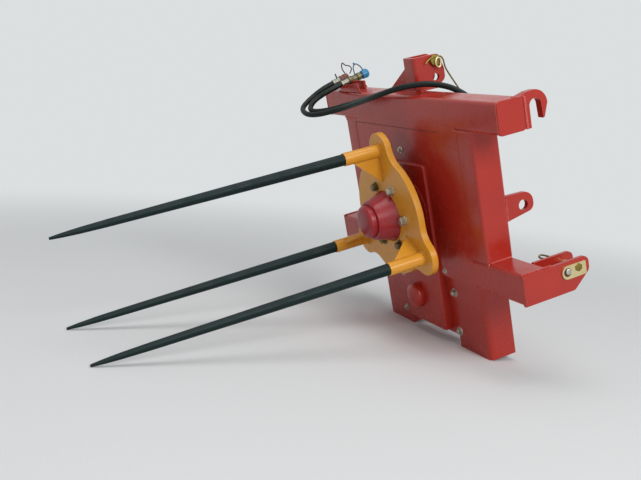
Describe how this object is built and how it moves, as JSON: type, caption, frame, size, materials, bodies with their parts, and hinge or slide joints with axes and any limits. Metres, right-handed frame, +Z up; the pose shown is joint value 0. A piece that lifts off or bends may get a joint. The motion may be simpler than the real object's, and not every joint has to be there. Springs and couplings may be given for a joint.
{
  "type": "bale unwinder",
  "caption": "Tractor-mounted round bale unwinder: a welded tube frame with hitch points carries a hydraulic rotor with long tines, parked leaning on its feet and tine tips.",
  "frame": {"origin": "on the ground, under the middle of the implement's bounding box without its hoses", "axes": "+Z up, +Y backwards to the tractor hitch with the tines pointing to -Y, +X across; the implement leans forward as it parks"},
  "size_m": [1.244, 1.5874, 1.0153],
  "materials": {
    "red_paint": "glossy red enamel",
    "zinc": "yellow zinc plated",
    "motor_paint": "black enamel",
    "hose_rubber": "black hose cover",
    "zinc_bright": "bright zinc plated",
    "blue_plastic": "blue dust cap",
    "red_plastic": "red-brown dust cap",
    "ochre_paint": "glossy ochre enamel",
    "tine_paint": "dark green-black enamel",
    "steel": "bare machined steel"
  },
  "bodies": {
    "frame": {"top_beam": "red_paint", "beam_end_caps": "red_paint", "right_post": "red_paint", "left_post": "red_paint", "lower_crossbeam": "red_paint", "right_arm": "red_paint", "left_arm": "red_paint", "front_sheet": "red_paint", "right_leg_back": "red_paint", "left_leg_back": "red_paint", "chain_cover": "red_paint", "chain_case": "red_paint", "shaft_cap": "red_paint", "bearing_housing": "red_paint", "right_ears": "red_paint", "left_ears": "red_paint", "right_lower_pin": "zinc", "left_lower_pin": "zinc", "top_link_bracket": "red_paint", "bracket_stay": "red_paint", "top_link_pin": "zinc", "right_euro_hook": "red_paint", "left_euro_hook": "red_paint", "right_euro_eye": "red_paint", "left_euro_eye": "red_paint", "hydraulic_motor": "motor_paint", "front_hose": "hose_rubber", "rear_hose": "hose_rubber", "end_ferrules": "zinc_bright", "rear_coupling": "zinc_bright", "blue_cap": "blue_plastic", "red_cap": "red_plastic", "coupling_holder": "red_paint"},
    "rotor": {"rotor_plate": "ochre_paint", "tine_sockets": "ochre_paint", "socket_gussets": "ochre_paint", "tine_nuts": "zinc", "upper_tine": "tine_paint", "left_tine": "tine_paint", "right_tine": "tine_paint", "hub": "red_paint", "hub_cap": "red_paint", "hub_bolts": "zinc", "rotor_shaft": "steel"}
  },
  "joints": [
    {"name": "rotor_spin", "type": "hinge", "parent": "frame", "child": "rotor", "pos_m": [0, 0.39266, 0.4479], "axis": [0, 0.959, 0.2834], "continuous": true}
  ]
}
